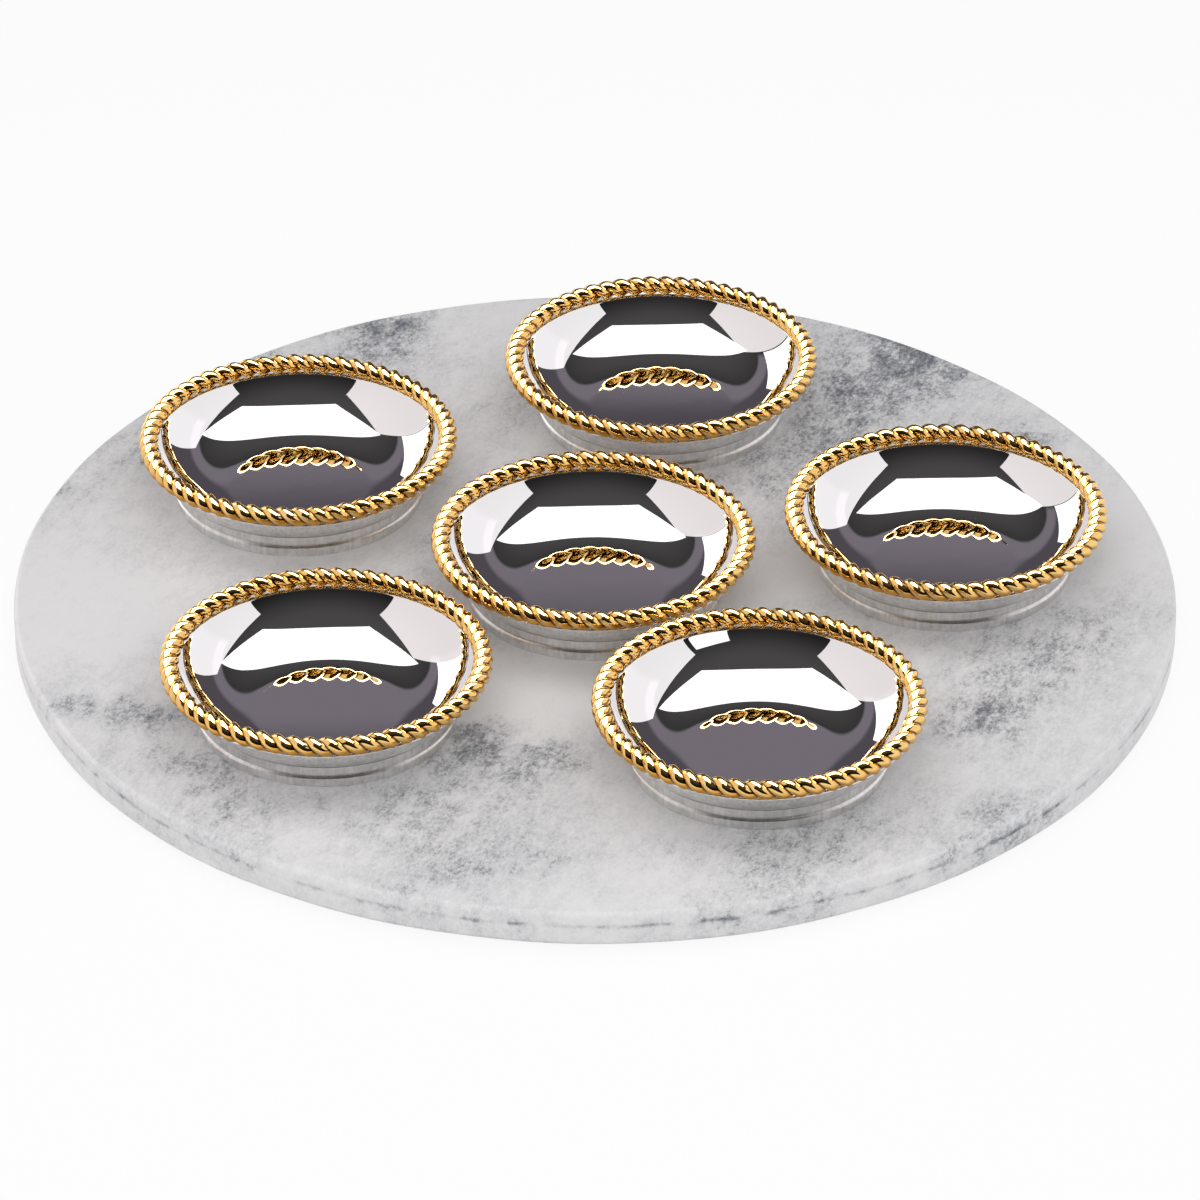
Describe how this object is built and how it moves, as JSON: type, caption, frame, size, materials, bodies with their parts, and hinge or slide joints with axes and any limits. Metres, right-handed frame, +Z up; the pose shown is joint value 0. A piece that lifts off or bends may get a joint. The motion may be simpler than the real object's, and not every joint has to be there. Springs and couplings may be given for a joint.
{
  "type": "seder plate",
  "caption": "Round marble board carrying small polished steel dishes with twisted gold rope rims, each lifting off to hold a symbolic food at the table.",
  "frame": {"origin": "under the middle of the marble board, on the plane that its foot pads stand on", "axes": "+Z up through the board, +X to the right and +Y to the rear for someone sitting at the front"},
  "size_m": [0.4063, 0.4064, 0.0403],
  "materials": {
    "marble": "honed, grey-veined",
    "pad_rubber": "matte",
    "polished_steel": "mirror polished",
    "satin_steel": "satin",
    "gold_rope": "polished gold plate"
  },
  "bodies": {
    "board": {"marble_board": "marble", "foot_pad_1": "pad_rubber", "foot_pad_2": "pad_rubber", "foot_pad_3": "pad_rubber", "foot_pad_4": "pad_rubber"},
    "dish_right": {"bowl_right": "polished_steel", "collar_right": "satin_steel", "rope_rim_right": "gold_rope"},
    "dish_rear": {"bowl_rear": "polished_steel", "collar_rear": "satin_steel", "rope_rim_rear": "gold_rope"},
    "dish_left_rear": {"bowl_left_rear": "polished_steel", "collar_left_rear": "satin_steel", "rope_rim_left_rear": "gold_rope"},
    "dish_left_front": {"bowl_left_front": "polished_steel", "collar_left_front": "satin_steel", "rope_rim_left_front": "gold_rope"},
    "dish_right_front": {"bowl_right_front": "polished_steel", "collar_right_front": "satin_steel", "rope_rim_right_front": "gold_rope"},
    "dish_centre": {"bowl_centre": "polished_steel", "collar_centre": "satin_steel", "rope_rim_centre": "gold_rope"}
  },
  "joints": [
    {"name": "lift_right", "type": "slide", "parent": "board", "child": "dish_right", "axis": [0, 0, 1], "range_m": [0, 0.15]},
    {"name": "lift_rear", "type": "slide", "parent": "board", "child": "dish_rear", "axis": [0, 0, 1], "range_m": [0, 0.15]},
    {"name": "lift_left_rear", "type": "slide", "parent": "board", "child": "dish_left_rear", "axis": [0, 0, 1], "range_m": [0, 0.15]},
    {"name": "lift_left_front", "type": "slide", "parent": "board", "child": "dish_left_front", "axis": [0, 0, 1], "range_m": [0, 0.15]},
    {"name": "lift_right_front", "type": "slide", "parent": "board", "child": "dish_right_front", "axis": [0, 0, 1], "range_m": [0, 0.15]},
    {"name": "lift_centre", "type": "slide", "parent": "board", "child": "dish_centre", "axis": [0, 0, 1], "range_m": [0, 0.15]}
  ]
}
